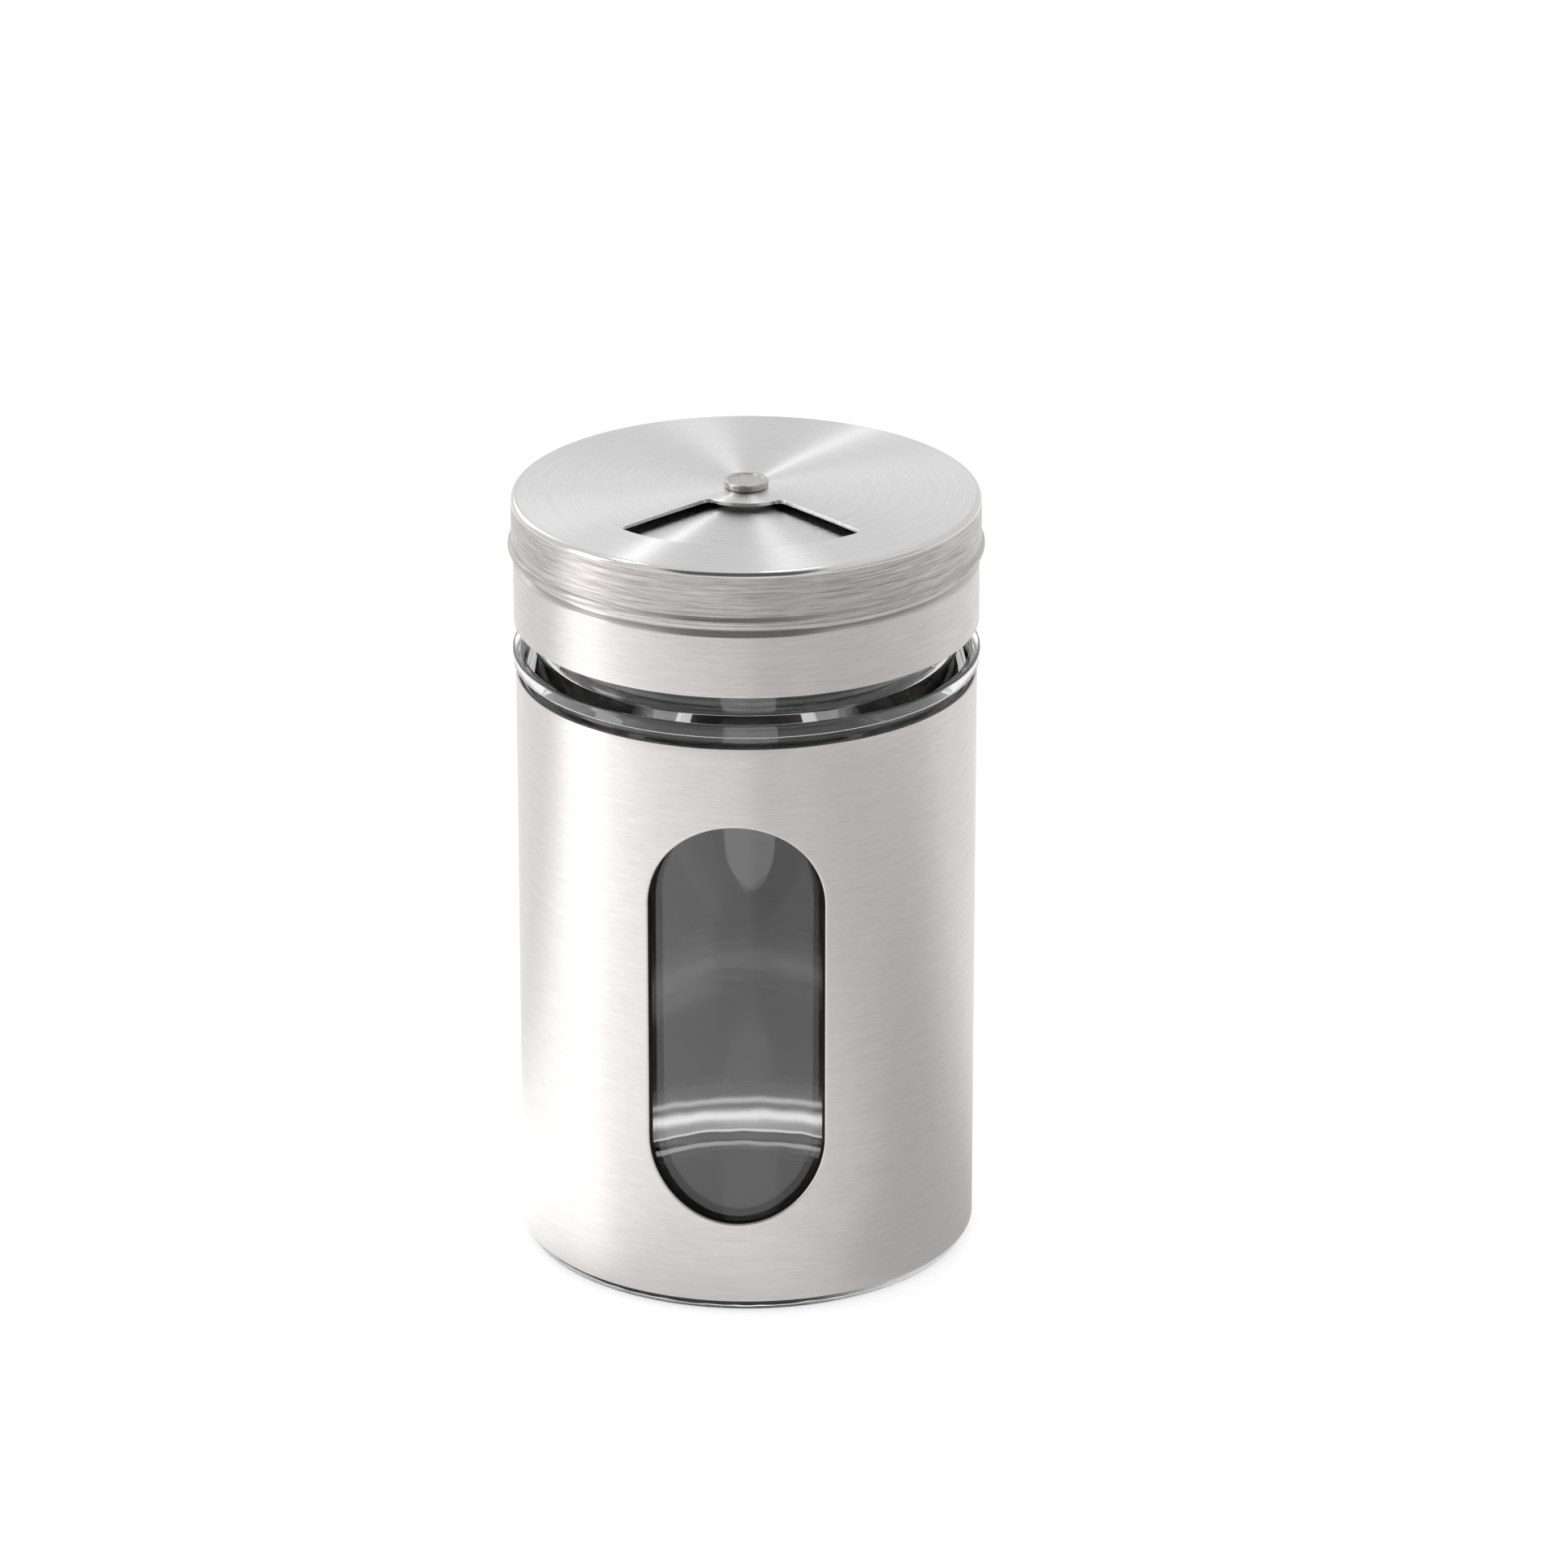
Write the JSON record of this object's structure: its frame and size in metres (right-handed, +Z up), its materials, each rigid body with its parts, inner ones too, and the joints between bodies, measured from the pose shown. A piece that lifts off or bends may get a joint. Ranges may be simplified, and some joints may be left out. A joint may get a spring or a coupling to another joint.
{
  "type": "spice shaker with a dial lid",
  "caption": "Glass spice jar in a steel sleeve with a viewing window and a screw lid whose turning dial picks closed, fine, medium or coarse holes.",
  "frame": {"origin": "centre of the jar's foot, on the table", "axes": "+Z up along the jar's axis; -Y towards the front, where the sleeve's window and, at rest, the dial's window face"},
  "size_m": [0.0564, 0.0564, 0.0956],
  "materials": {
    "clear_glass": "clear, fire polished",
    "sleeve_steel": "fine horizontal brushing",
    "cap_steel": "brushed around the axis",
    "cover_steel": "brushed in circles about the rivet",
    "rivet_steel": "satin",
    "insert_plastic": "natural moulded",
    "seal_silicone": "translucent white silicone",
    "washer_nylon": "natural",
    "spring_steel": "plain",
    "washer_steel": "plain"
  },
  "bodies": {
    "jar": {"glass_jar": "clear_glass", "window_sleeve": "sleeve_steel"},
    "seal": {"rim_seal": "seal_silicone"},
    "lid": {"shaker_cap": "cap_steel", "thread_ring": "insert_plastic", "pivot_rivet": "rivet_steel", "spacer_washer": "washer_nylon", "spring_washer": "spring_steel", "backing_washer": "washer_steel"},
    "dial": {"rotating_cover": "cover_steel"}
  },
  "joints": [
    {"name": "lid_lift", "type": "slide", "parent": "jar", "child": "seal", "axis": [0, 0, 1], "range_m": [0, 0.01269]},
    {"name": "lid_turn", "type": "hinge", "parent": "seal", "child": "lid", "pos_m": [0, 0, 0.0785], "axis": [0, 0, 1], "range_deg": [0, 1080]},
    {"name": "dial_turn", "type": "hinge", "parent": "lid", "child": "dial", "pos_m": [0, 0, 0.0942], "axis": [0, 0, 1], "continuous": true}
  ],
  "couplings": [
    {"joint": "lid_lift", "follows": "lid_turn", "m_per_rad": 0.00067322}
  ]
}
